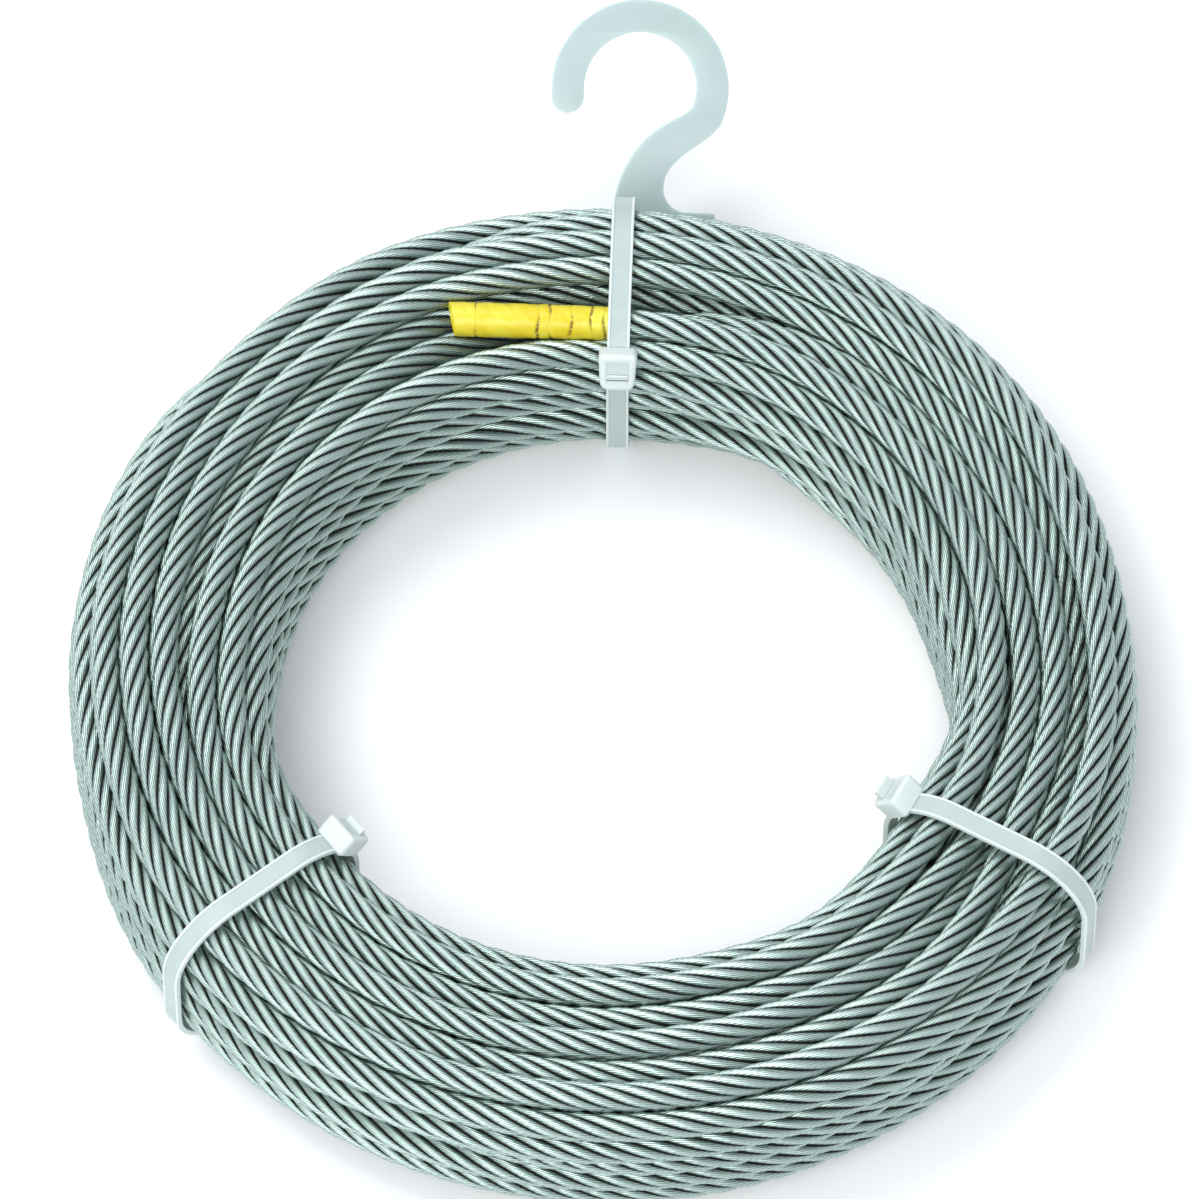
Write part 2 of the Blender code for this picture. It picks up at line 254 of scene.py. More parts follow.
def rope_points(at):
    """Points on the rope's centre line, at places along it."""
    section = between(places, at)
    turned = np.radians(np.interp(at, np.arange(place_count), azimuths))
    return np.column_stack([
        coil_foot.x + section[:, 0] * np.cos(turned),
        coil_foot.y + section[:, 0] * np.sin(turned),
        section[:, 1]])


places = settle(level_winding())
fine_at = np.linspace(0, place_count - 1, FINE_POINTS_A_PLACE * place_count)
fine_points = rope_points(fine_at)
fine_run = np.concatenate([[0], np.cumsum(np.linalg.norm(np.diff(fine_points, axis=0), axis=1))])
fine_depth = np.interp(fine_at, np.arange(place_count), depth_in_coil(places))


def evenly_along(spacing):
    """Distances along the rope whose spacing follows an array over its fine points."""
    count = np.concatenate([[0], np.cumsum(np.diff(fine_run) / spacing[1:])])
    return np.interp(np.linspace(0, count[-1], round(count[-1]) + 1), count, fine_run)


UV_NAME = "round_and_along"
SHARP_EDGE = math.radians(60)
TANGENT_STEP = 0.0004


def rings_round_rope(run, outline, turning):
    """Rings of points round the rope, an outline that turns with distance along it."""
    points = rope_points(np.interp(run, fine_run, fine_at))
    ahead = rope_points(np.interp(run + TANGENT_STEP, fine_run, fine_at))
    behind = rope_points(np.interp(run - TANGENT_STEP, fine_run, fine_at))
    tangent = (ahead - behind) / np.linalg.norm(ahead - behind, axis=1)[:, None]
    up = np.array([0, 0, 1]) - tangent * tangent[:, 2:]
    up /= np.linalg.norm(up, axis=1)[:, None]
    side = np.cross(tangent, up)
    cosine, sine = np.cos(turning * run)[:, None], np.sin(turning * run)[:, None]
    along_up = outline[:, 0] * cosine - outline[:, 1] * sine
    along_side = outline[:, 0] * sine + outline[:, 1] * cosine
    return points[:, None] + along_up[..., None] * up[:, None] + along_side[..., None] * side[:, None]


def mesh_of_rings(name, rings, run):
    """A closed tube through rings of points, with U round it and V along it, one for each lay."""
    ring_count, side_count = rings.shape[:2]
    rows, columns = np.arange(ring_count - 1)[:, None], np.arange(side_count)
    following = (columns + 1) % side_count
    quads = np.stack([
        rows * side_count + columns, rows * side_count + following,
        (rows + 1) * side_count + following, (rows + 1) * side_count + columns], 2).reshape(-1, 4)
    caps = [columns[::-1], (ring_count - 1) * side_count + columns]
    corners = np.concatenate([quads.ravel(), *caps])
    mesh = bpy.data.meshes.new(name)
    mesh.vertices.add(ring_count * side_count)
    mesh.vertices.foreach_set("co", rings.astype(np.float32).ravel())
    mesh.loops.add(len(corners))
    mesh.loops.foreach_set("vertex_index", corners.astype(np.int32))
    mesh.polygons.add(len(quads) + len(caps))
    starts = np.concatenate([4 * np.arange(len(quads)), 4 * len(quads) + side_count * np.arange(len(caps))])
    mesh.polygons.foreach_set("loop_start", starts.astype(np.int32))
    round_it = np.tile(np.stack([columns, columns + 1, columns + 1, columns], 1), (ring_count - 1, 1))
    along = np.repeat(np.stack([run[:-1], run[:-1], run[1:], run[1:]], 1), side_count, axis=0) / LAY
    at_caps = np.zeros((len(caps) * side_count, 2))
    uv = np.concatenate([np.stack([round_it / side_count, along], 2).reshape(-1, 2), at_caps])
    mesh.update(calc_edges=True)
    mesh.uv_layers.new(name=UV_NAME).data.foreach_set("uv", uv.astype(np.float32).ravel())
    mesh.shade_smooth()
    mesh.set_sharp_from_angle(angle=SHARP_EDGE)
    return mesh


def add_piece(name, mesh, material, slot, *nodes):
    """An object of the part, which rides on its one body and stands for CAD nodes."""
    piece = bpy.data.objects.new(name, mesh)
    bpy.context.scene.collection.objects.link(piece)
    mesh.materials.append(material)
    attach(piece, "root")
    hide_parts(*nodes)
    return piece


class Signal:
    """A socket in a material's nodes. Arithmetic on it adds Math nodes, and node() adds any other."""

    def __init__(self, tree, socket=None):
        self.tree = tree
        self.socket = socket

    def node(self, kind, settings, inputs, output=0):
        """A node of a kind, with its settings made before its sockets are filled or linked."""
        made = self.tree.nodes.new(kind)
        for name, value in settings.items():
            setattr(made, name, value)
        for name, value in inputs.items():
            if isinstance(value, Signal):
                self.tree.links.new(value.socket, made.inputs[name])
            else:
                made.inputs[name].default_value = value
        return Signal(self.tree, made.outputs[output])

    def math(self, operation, *values):
        return self.node("ShaderNodeMath", {"operation": operation}, dict(enumerate(values)))

    def __add__(self, other):
        return self.math("ADD", self, other)

    def __sub__(self, other):
        return self.math("SUBTRACT", self, other)

    def __rsub__(self, other):
        return self.math("SUBTRACT", other, self)

    def __mul__(self, other):
        return self.math("MULTIPLY", self, other)

    __radd__ = __add__

    def fraction(self):
        return self.math("FRACT", self)

    def clipped(self):
        return self.math("MINIMUM", self.math("MAXIMUM", self, 0.0), 1.0)

    def ramp(self, low, high):
        """From 0 at one value of the signal to 1 at another."""
        return self.node("ShaderNodeMapRange", {"clamp": True}, {0: self, 1: low, 2: high})

    def mixed(self, first, second):
        """One colour where the signal is 0 and another where it is 1."""
        return self.node("ShaderNodeMix", {"data_type": "RGBA"}, {0: self, 6: first, 7: second}, 2)


def noise(start, place, scale, detail=2.0):
    """Smooth noise from 0 to 1 over a place, with a scale a metre."""
    return start.node("ShaderNodeTexNoise", {}, {"Vector": place, "Scale": scale, "Detail": detail})


def own_place(start):
    """Where a point of the surface is in its own object."""
    return start.node("ShaderNodeTexCoord", {}, {}, 3)


def round_and_along(start):
    """The U and the V of a point of the surface."""
    uv = start.node("ShaderNodeUVMap", {"uv_map": UV_NAME}, {})
    split = start.node("ShaderNodeSeparateXYZ", {}, {0: uv})
    return [Signal(start.tree, split.socket.node.outputs[axis]) for axis in (0, 1)]


def bump(start, strength, distance, height):
    """A normal that follows a height."""
    return start.node("ShaderNodeBump", {}, {"Strength": strength, "Distance": distance, "Height": height})


def new_material(name, settings):
    """A Principled material: its shader, with even values set on it, and a first signal to build on."""
    material = bpy.data.materials.new(name)
    material.use_nodes = True
    shader = material.node_tree.nodes["Principled BSDF"]
    for socket, value in settings.items():
        shader.inputs[socket].default_value = value
    return material, shader, Signal(material.node_tree)


def feed(shader, signals):
    """Link signals to a shader's sockets."""
    for socket, signal in signals.items():
        signal.tree.links.new(signal.socket, shader.inputs[socket])


ARC_POINTS = 7
STRAND_ARC = math.radians(105)
RINGS_A_LAY = 20
RINGS_A_LAY_INSIDE = 7
SEEN_DEPTH = 0.0045
SEEN_SHIFTS = range(-30, 31, 5)
PIECE_RINGS = 2300
SPLIT_WINDOW = 60
WIRES_ROUND_STRAND = 12
WIRE_TURNS_A_LAY = 2.5
CORE_IN_END = 0.3
CORE_SETBACK = 0.0004
CORE_SIDES = 12
CORE_RINGS_A_LAY = 6


def strand_outline():
    """The rope's outline across, six round strands that sink into the core between them."""
    turns = np.linspace(-STRAND_ARC, STRAND_ARC, ARC_POINTS)
    middle = rope_radius - STRAND_RADIUS
    local = np.column_stack([middle + STRAND_RADIUS * np.cos(turns), STRAND_RADIUS * np.sin(turns)])
    angles = 2 * math.pi * np.arange(STRANDS)[:, None] / STRANDS
    x = local[:, 0] * np.cos(angles) - local[:, 1] * np.sin(angles)
    y = local[:, 0] * np.sin(angles) + local[:, 1] * np.cos(angles)
    return np.column_stack([x.ravel(), y.ravel()])


def galvanised_wire():
    """Drawn zinc-coated wires with greyer and brighter patches: painted shade darkens the grooves between
    the wires, and near-black painted shade lies where the strands meet.
    """
    material, shader, start = new_material("galvanised_wire", {"Specular IOR Level": 0.0})
    around, along = round_and_along(start)
    across_strand = (around * STRANDS).fraction() * (ARC_POINTS / (ARC_POINTS - 1)) - 0.5
    turned = across_strand * (STRAND_ARC / math.pi)
    wire = ((turned + along * WIRE_TURNS_A_LAY) * WIRES_ROUND_STRAND).fraction() * 2 - 1
    crown = 1 - wire * wire
    # Near-black painted shade on each strand's edges, where it meets its neighbours; the same mask makes
    # them rougher and not metallic
    strand_gap_shade = start.math("ABSOLUTE", across_strand).ramp(0.32, 0.43)
    patches = noise(start, own_place(start), 90, 3)
    streaks = noise(start, start.node("ShaderNodeCombineXYZ", {}, {0: around * 60, 1: along * 1.5}), 1.0, 3)
    tone = (patches * 0.5 + streaks * 0.6 - 0.05).clipped()
    bright = tone.mixed((0.34, 0.45, 0.42, 1), (0.66, 0.80, 0.75, 1))
    # Painted shade in the grooves between the wires, with each wire's crown in the plain tone
    shaded = crown.ramp(0.0, 0.7).mixed((0.11, 0.16, 0.15, 1), bright)
    feed(shader, {
        "Base Color": strand_gap_shade.mixed(shaded, (0.008, 0.01, 0.01, 1)),
        "Roughness": 0.3 + patches * 0.16 + strand_gap_shade * 0.3,
        "Metallic": 1 - strand_gap_shade,
        "Normal": bump(start, 0.8, 0.0001, crown + streaks * 0.3)})
    return material


def greased_core():
    """Dark lubricated fibre, seen only as a line between the strands."""
    material, shader, start = new_material("greased_core", {"Specular IOR Level": 0.0})
    fibres = noise(start, own_place(start), 900, 2)
    feed(shader, {
        "Base Color": fibres.mixed((0.006, 0.007, 0.007, 1), (0.03, 0.03, 0.028, 1)),
        "Roughness": 0.5 + fibres * 0.3})
    return material


# The rope is drawn with fewer rings wherever it lies deep in the coil, and is split there into its pieces
hidden_depth = np.minimum.reduce([np.roll(fine_depth, shift) for shift in SEEN_SHIFTS])
ring_spacing = np.where(hidden_depth < SEEN_DEPTH, LAY / RINGS_A_LAY, LAY / RINGS_A_LAY_INSIDE)
ring_run = evenly_along(ring_spacing)
ring_depth = np.interp(ring_run, fine_run, fine_depth)
steel = galvanised_wire()
outline = strand_outline()
piece_count = math.ceil(len(ring_run) / PIECE_RINGS)
first = 0
for number in range(piece_count):
    last = len(ring_run) - 1
    if number < piece_count - 1:
        ideal = round(len(ring_run) * (number + 1) / piece_count)
        window = np.arange(ideal - SPLIT_WINDOW, ideal + SPLIT_WINDOW)
        last = int(window[np.argmax(ring_depth[window])])
    run = ring_run[first:last + 1]
    name = f"rope_strands_{number + 1}"
    rings = rings_round_rope(run, outline, 2 * math.pi / LAY)
    # Each flat end has a smaller ring in it, with the wires' ends outside it and the core's inside
    core_edges = [end.mean(0) + CORE_IN_END * (end - end.mean(0)) for end in (rings[0], rings[-1])]
    rings = np.concatenate([core_edges[:1], rings, core_edges[1:]])
    run = np.concatenate([run[:1], run, run[-1:]])
    mesh = mesh_of_rings(name, rings, run)
    add_piece(name, mesh, steel, "wire_rope", "wire_rope_coil")
    first = last

core_run = evenly_along(np.full(len(fine_run), LAY / CORE_RINGS_A_LAY))
core_run[[0, -1]] += (CORE_SETBACK, -CORE_SETBACK)
core_turns = 2 * math.pi * np.arange(CORE_SIDES) / CORE_SIDES
core_outline = CORE_RADIUS * np.column_stack([np.cos(core_turns), np.sin(core_turns)])
core_rings = rings_round_rope(core_run, core_outline, 0)
core_mesh = mesh_of_rings("rope_core", core_rings, core_run)
core = add_piece("rope_core", core_mesh, greased_core(), "wire_rope", "wire_rope_coil")
rope_points(np.arange(0, place_count))

# The taped end
# Yellow vinyl tape, wrapped lengthways round the rope's cut end, which the top tie holds to the coil.
# Bending has creased it across, and its end past the wires was snipped off askew.
TIE_AZIMUTHS = {"top": TAPED_AZIMUTH, "left": 218.0, "right": 331.0}
STRAP_WIDTH = 0.0045
TAPE_LENGTH = 0.0366
TAPE_OUTSIDE = 0.0034
TAPE_WALL = 0.00022
TAPE_START = 0.0004
TAPE_SWELL = 0.0002
SWELL_REACH = 0.006
TAPE_SKEW = 0.0008
TAPE_SEAM = math.radians(250)
STRANDS_SHOWING = 0.00003
RUMPLE = 0.00004
# Each crease's distance from the middle of the tie, its width and its slant
TAPE_CREASES = (
    (0.0029, 0.00034, 0.3), (0.0054, 0.00032, 0.4), (0.0098, 0.00036, -0.5), (0.0138, 0.00032, 0.3),
    (0.0163, 0.00038, -0.3), (0.0286, 0.00022, 0.2))
CREASE_DEPTH = 0.0002
CREASE_SLANT = 0.0005
CREASE_WANDER = 0.00018
CREASE_UNEVENNESS = 0.35
PINCH = 0.08
PINCHED_FROM = 0.93
TAPE_RINGS = 240
TAPE_SIDES = 56
MOUTH_RINGS = 3
MOUTH_STEP = 4
V_A_RING = 0.001


def tie_frame(name):
    """A tie's frame in the world: X out along its radius, Y anticlockwise round the coil and Z up."""
    return Matrix.Translation(coil_foot) @ Matrix.Rotation(math.radians(TIE_AZIMUTHS[name]), 4, "Z")


def placed(points, matrix):
    """Points of one frame in the world."""
    whole = np.array(matrix)
    return points @ whole[:3, :3].T + whole[:3, 3]


def tape_crease(along, turned):
    """How deep a crease is, from 0 to 1, at distances along the tape and angles round it."""
    depth = np.zeros(np.broadcast(along, turned).shape)
    for place, width, slant in TAPE_CREASES:
        wander = CREASE_SLANT * slant * np.sin(turned) + CREASE_WANDER * np.sin(3 * turned + 5000 * place)
        strength = 1 - CREASE_UNEVENNESS + CREASE_UNEVENNESS * np.sin(2 * turned + 900 * place)
        depth = np.maximum(depth, strength * np.exp(-(((along - place - wander) / width) ** 2)))
    return depth


def tape_mesh():
    """The wrap, with its outside and, at its open end, a little of its inside."""
    share = np.linspace(0, 1, TAPE_RINGS)[:, None]
    turned = 2 * math.pi * np.arange(TAPE_SIDES)[None] / TAPE_SIDES
    first = TAPE_START - STRAP_WIDTH / 2
    last = TAPE_LENGTH - STRAP_WIDTH / 2 - TAPE_SKEW * (1 - np.cos(turned))
    along = first + (last - first) * share
    lap = TAPE_WALL * ((turned - TAPE_SEAM) % (2 * math.pi)) / (2 * math.pi)
    strands = STRANDS_SHOWING * np.cos(STRANDS * (turned + 2 * math.pi * along / LAY))
    rumple = RUMPLE * np.sin(2 * turned + 700 * along) * np.sin(1900 * along + 4 * turned)
    crease = tape_crease(along, turned)
    swell = TAPE_SWELL * (1 - np.exp(-np.maximum(along, 0) / SWELL_REACH))
    radius = TAPE_OUTSIDE - TAPE_WALL - RUMPLE + swell + lap + strands + rumple - CREASE_DEPTH * crease
    pinch = 1 - PINCH * np.clip((share - PINCHED_FROM) / (1 - PINCHED_FROM), 0, 1) ** 2
    outside = np.stack([radius * np.cos(turned), along, radius * pinch * np.sin(turned)], 2)
    inward = 1 - TAPE_WALL / TAPE_OUTSIDE
    mouth = [outside[-1 - MOUTH_STEP * step] * [inward, 1, inward] for step in range(MOUTH_RINGS)]
    rings = np.concatenate([outside, mouth])
    middle = tie_frame("top") @ Matrix.Translation((TAPED_RADIUS, 0, TAPED_HEIGHT))
    mesh = mesh_of_rings("tape", placed(rings, middle), np.arange(len(rings)) * V_A_RING)
    marks = np.concatenate([crease, np.zeros((len(mouth), TAPE_SIDES))])
    creased = mesh.attributes.new("creased", "FLOAT", "POINT")
    creased.data.foreach_set("value", marks.astype(np.float32).ravel())
    return mesh


def yellow_vinyl():
    """Glossy yellow tape: worn paler in patches, with speckled dark brown painted shade along its creases.
    """
    material, shader, start = new_material("yellow_vinyl", {"Coat Weight": 0.15, "Specular IOR Level": 0.4})
    place = own_place(start)
    creased = start.node("ShaderNodeAttribute", {"attribute_name": "creased"}, {}, 2)
    patches = noise(start, place, 160, 3)
    specks = noise(start, place, 1500, 3)
    worn = patches.ramp(0.35, 0.7).mixed((0.67, 0.53, 0.016, 1), (0.73, 0.67, 0.056, 1))
    # Speckled dark brown painted shade along the creases
    crease_shade = (creased.ramp(0.25, 0.7) * specks.ramp(0.36, 0.52)).clipped()
    feed(shader, {
        "Base Color": (crease_shade * 0.9).mixed(worn, (0.16, 0.085, 0.012, 1)),
        "Roughness": 0.32 + specks * 0.2,
        "Normal": bump(start, 0.35, 0.0001, specks * 0.4 + patches)})
    return material


add_piece("end_tape_wrap", tape_mesh(), yellow_vinyl(), "end_tape", "end_tape")

# The cable ties
# Natural nylon ties of 4.5 mm, moulded with a raised rim along each edge of the strap. Each is drawn tight
# over the coil, round the hook's bar too at the top, and its tail is cut off just beyond its head.
COIL_OUTER_RADIUS = 0.1075
COIL_BASE = 0.0015
COIL_TOP = 0.0425
STRAP_THICKNESS = 0.0012
STRAP_RIM = 0.00055
STRAP_SUNK = 0.0002
STRAP_SUPPORT = 0.0005
UNDER_EDGE = (0.0002, 0.00015)
UPPER_EDGE = (0.00013, 0.00015)
RIM_SLOPE = 0.0001
GAP = 0.0003
HEAD_SIZE = (0.0077, 0.0077, 0.005)
HEAD_TAPER = 0.92
HEAD_CORNERS = (0.0011, 0.0018)
HEAD_ROUNDING = 0.0007
HEAD_ELEVATION = 38
HEAD_WALL = 0.0014
LEAST_CORNER = 0.0001
PANEL_SUNK = 0.00006
PANEL_EDGE = 0.0002
SLOT_SIZE = (0.0014, 0.0045)
SLOT_DEPTH = 0.0014
STUB_REACH = {"top": 0.0028, "left": 0.0038, "right": 0.0046}
STUB_SETBACK = 0.001
STUB_NARROWER = 0.0001
STUB_CHAMFER = 0.0002
CUT_SLANT = 0.0003
TOOTH_FROM_CUT = 0.0006
TOOTH_PITCH = 0.0009
TOOTH_DEPTH = 0.00025
TOOTH_FLAT = 0.0003
TOOTH_SLOPE = 0.00045
# U from the strap's middle line, where the rim's paler painted highlight begins and ends. The heads use the
# same tones
RIM_FROM = 0.13
RIM_BLEND = 0.02
PANEL_IN_BLEND = 0.013
PAST_BLEND = 0.1
V_A_METRE = 100
TIE_SHARP_EDGE = math.radians(38)
HOOK_THICKNESS = 0.0022
HOOK_TILT = 29
BAR_WIDTH = 0.0016
BAR_HEIGHT_ABOVE_FLOOR = 0.017


def heading(degrees):
    """Unit vector at an angle, anticlockwise from the first axis."""
    return Vector((math.cos(math.radians(degrees)), math.sin(math.radians(degrees))))


def arc(centre, radius, start, end, steps):
    """Points along an arc, from one angle to the other."""
    return [centre + radius * heading(start + (end - start) * step / steps) for step in range(steps + 1)]


def section_corners():
    """Centres of the rounded corners of the coil's section, in a tie's X and Z, the outer top one first."""
    inner, outer = COIL_INNER_RADIUS + COIL_CORNER_RADIUS, COIL_OUTER_RADIUS - COIL_CORNER_RADIUS
    low, high = COIL_BASE + COIL_CORNER_RADIUS, COIL_TOP - COIL_CORNER_RADIUS
    return [Vector(spot) for spot in ((outer, high), (inner, high), (inner, low), (outer, low))]


def bar_centre():
    """Middle of the hook's inner bar, between the coil's side and the strap."""
    along, across = heading(HOOK_TILT), heading(HOOK_TILT + 90)
    reach = (BAR_WIDTH * along.x + HOOK_THICKNESS * abs(across.x)) / 2
    return Vector((COIL_OUTER_RADIUS + GAP + reach, BAR_HEIGHT_ABOVE_FLOOR))


def strap_loop(over_hook, pitch=0.0007):
    """The middle of a taut strap's thickness, all round, at an even pitch."""
    offset = GAP + STRAP_THICKNESS / 2
    points = []
    for corner_index, centre in enumerate(section_corners()):
        points += arc(centre, COIL_CORNER_RADIUS + offset, 90 * corner_index, 90 * corner_index + 90, 24)
    if over_hook:
        along, across = heading(HOOK_TILT), heading(HOOK_TILT + 90)
        for a, b in ((1, 1), (-1, 1), (-1, -1), (1, -1)):
            spot = bar_centre() + a * BAR_WIDTH / 2 * along + b * HOOK_THICKNESS / 2 * across
            points += arc(spot, offset, 0, 345, 23)
    hull = np.array([points[index] for index in convex_hull_2d(points)])
    closed = np.concatenate([hull, hull[:1]])
    run = np.concatenate([[0], np.cumsum(np.linalg.norm(np.diff(closed, axis=0), axis=1))])
    even = np.linspace(0, run[-1], round(run[-1] / pitch), endpoint=False)
    return np.column_stack([np.interp(even, run, closed[:, axis]) for axis in (0, 1)])


def strap_section():
    """The strap's outline across: width along the coil and height out from it."""
    half, top, sunk = STRAP_WIDTH / 2, STRAP_THICKNESS / 2, STRAP_THICKNESS / 2 - STRAP_SUNK
    side = [
        (0, -top), (half - STRAP_SUPPORT, -top), (half - UNDER_EDGE[0], -top), (half, UNDER_EDGE[1] - top),
        (half, top - UPPER_EDGE[1]), (half - UPPER_EDGE[0], top), (half - STRAP_RIM + RIM_SLOPE, top),
        (half - STRAP_RIM - RIM_SLOPE, sunk), (half - STRAP_RIM - STRAP_SUPPORT, sunk), (0, sunk)]
    return np.array(side + [(-across, height) for across, height in side[-2:0:-1]])


def swept_strap(over_hook):
    """Rings of points for a closed strap, in its tie's frame."""
    loop = strap_loop(over_hook)
    forward = np.roll(loop, -1, axis=0) - np.roll(loop, 1, axis=0)
    forward /= np.linalg.norm(forward, axis=1)[:, None]
    outward = np.column_stack([forward[:, 1], -forward[:, 0]])
    if np.sum(outward * (loop - loop.mean(0))) < 0:
        outward = -outward
    section = strap_section()
    ring = loop[:, None] + section[None, :, 1:] * outward[:, None]
    across = np.broadcast_to(section[:, 0], ring.shape[:2])
    return np.stack([ring[..., 0], across, ring[..., 1]], 2)


def add_strap(shape, uv_layer, rings):
    """Skin a closed loop of rings, with U round the strap's outline and V along it."""
    corners = [[shape.verts.new(point) for point in ring] for ring in rings]
    count, sides = len(rings), len(rings[0])
    run = np.concatenate([[0], np.cumsum(np.linalg.norm(np.roll(rings, -1, axis=0) - rings, axis=2)[:, 0])])
    for row in range(count):
        for column in range(sides):
            following, right = (row + 1) % count, (column + 1) % sides
            face = shape.faces.new((
                corners[row][column], corners[row][right],
                corners[following][right], corners[following][column]))
            spots = ((column, row), (column + 1, row), (column + 1, row + 1), (column, row + 1))
            for loop, (across, along) in zip(face.loops, spots):
                loop[uv_layer].uv = (across / sides, run[along] * V_A_METRE)


def rounded_box(length, width, radii, taper=1.0):
    """Outline of a block, with one corner radius at its +X end and another at its tapered end."""
    points = []
    for corner, (x, y) in enumerate(((1, 1), (-1, 1), (-1, -1), (1, -1))):
        radius, share = (radii[0], 1.0) if x > 0 else (radii[1], taper)
        centre = Vector((x * (length / 2 - radius), y * (share * width / 2 - radius)))
        points += arc(centre, radius, 90 * corner, 90 * corner + 90, 5)
    return points


def add_head(shape, uv_layer, seat):
    """A head seated on the coil's inner edge, with the slot that the tail comes out of in a sunk panel."""
    length, width, height = HEAD_SIZE
    top = height / 2
    levels = [(HEAD_ROUNDING, -top), (0, HEAD_ROUNDING - top)]
    for step in range(4):
        inset, lift = HEAD_ROUNDING * (Vector((1, 1)) - heading(30 * step))
        levels.append((inset, top - lift))
    levels += [(HEAD_WALL, top), (HEAD_WALL + PANEL_EDGE, top - PANEL_SUNK)]
    rings = []
    for inset, level in levels:
        radii = [max(radius - inset, LEAST_CORNER) for radius in HEAD_CORNERS]
        outline = rounded_box(length - 2 * inset, width - 2 * inset, radii, HEAD_TAPER)
        rings.append([(x, y, level) for x, y in outline])
    slot = rounded_box(*SLOT_SIZE, (LEAST_CORNER, LEAST_CORNER))
    for level in (top - PANEL_SUNK, top - SLOT_DEPTH):
        rings.append([(x - STUB_SETBACK, y, level) for x, y in slot])
    corners = [[shape.verts.new(seat @ Vector(spot)) for spot in ring] for ring in rings]
    shape.faces.new(corners[0][::-1])
    shape.faces.new(corners[-1])
    for row in range(len(rings) - 1):
        # The head takes the rims' paler painted highlight tone, its sunk panel and slot a little less of it
        across = 0.5 - RIM_FROM - (PANEL_IN_BLEND if row >= len(levels) - 2 else PAST_BLEND)
        for index in range(len(rings[0])):
            spots = ((row, index - 1), (row, index), (row + 1, index), (row + 1, index - 1))
            face = shape.faces.new([corners[ring][place] for ring, place in spots])
            for loop, (ring, place) in zip(face.loops, spots):
                loop[uv_layer].uv = (across, rings[ring][place][0] * V_A_METRE)


def stub_outline(top):
    """The tail's cut end seen from its edge, in X and Z, with teeth down its inner side."""
    half = STRAP_THICKNESS / 2
    front = [
        (half - STUB_CHAMFER / 2, 0.0), (half, STUB_CHAMFER), (half, top - STUB_CHAMFER),
        (half - STUB_CHAMFER, top)]
    back = [(STUB_CHAMFER - half, top - CUT_SLANT)]
    height = top - TOOTH_FROM_CUT
    while height > TOOTH_PITCH:
        back += [(-half, height), (-half, height - TOOTH_FLAT), (TOOTH_DEPTH - half, height - TOOTH_SLOPE)]
        height -= TOOTH_PITCH
    return front + back + [(-half, 0.0)]


def add_stub(shape, seat, reach):
    """The cut end of the tail, standing out of the head."""
    outline = stub_outline(reach)
    half = STRAP_WIDTH / 2 - STUB_NARROWER
    sides = []
    for across in (-half, half):
        points = [shape.verts.new(seat @ Vector((x - STUB_SETBACK, across, z))) for x, z in outline]
        sides.append(points)
    shape.faces.new(sides[0][::-1])
    shape.faces.new(sides[1])
    for index in range(len(outline)):
        shape.faces.new((sides[0][index - 1], sides[0][index], sides[1][index], sides[1][index - 1]))


def tie_mesh(name):
    """A whole tie: strap, head and the stub of its tail."""
    inner_top = section_corners()[1]
    seat = Matrix.Translation((inner_top.x, 0, inner_top.y))
    seat = seat @ Matrix.Rotation(math.radians(HEAD_ELEVATION - 90), 4, "Y")
    seat = seat @ Matrix.Translation((0, 0, COIL_CORNER_RADIUS + GAP + HEAD_SIZE[2] / 2))
    shape = bmesh.new()
    uv_layer = shape.loops.layers.uv.new(UV_NAME)
    add_head(shape, uv_layer, seat)
    add_stub(shape, seat, STUB_REACH[name])
    add_strap(shape, uv_layer, swept_strap(name == "top"))
    bmesh.ops.recalc_face_normals(shape, faces=shape.faces)
    shape.transform(tie_frame(name))
    mesh = bpy.data.meshes.new("tie_" + name)
    shape.to_mesh(mesh)
    shape.free()
    mesh.shade_smooth()
    mesh.set_sharp_from_angle(angle=TIE_SHARP_EDGE)
    return mesh


def natural_nylon():
    """Slightly milky moulded nylon, scuffed, with the faint rungs of its teeth showing through the strap,
    and a paler painted highlight on its rims and heads.
    """
    material, shader, start = new_material("natural_nylon", {
        "Subsurface Weight": 0.35, "Subsurface Scale": 0.001, "Subsurface Radius": (0.9, 1.0, 1.0),
        "Specular IOR Level": 0.45})
    place = own_place(start)
    across, along = round_and_along(start)
    rung = start.math("PINGPONG", along * (2 / (V_A_METRE * TOOTH_PITCH)), 1.0)
    # A paler painted highlight on the strap outside its sunk middle, that is its raised rims, sides and
    # underside, and on the heads
    rim = start.math("ABSOLUTE", across - 0.5).ramp(RIM_FROM, RIM_FROM + RIM_BLEND)
    cloud = noise(start, place, 220, 2)
    scuffs = noise(start, place, 2600, 4)
    tone = (cloud * 0.7 + rung * 0.12 + scuffs * 0.18).clipped()
    middle = tone.mixed((0.365, 0.445, 0.43, 1), (0.465, 0.54, 0.53, 1))
    rim_highlight = tone.mixed((0.55, 0.63, 0.61, 1), (0.66, 0.72, 0.70, 1))
    feed(shader, {
        "Base Color": rim.mixed(middle, rim_highlight),
        "Roughness": 0.3 + scuffs * 0.25,
        "Normal": bump(start, 0.25, 0.00006, rung * 0.5 + scuffs * 0.5)})
    return material


nylon = natural_nylon()
for name in TIE_AZIMUTHS:
    add_piece("tie_" + name, tie_mesh(name), nylon, "cable_tie", "cable_tie_" + name)

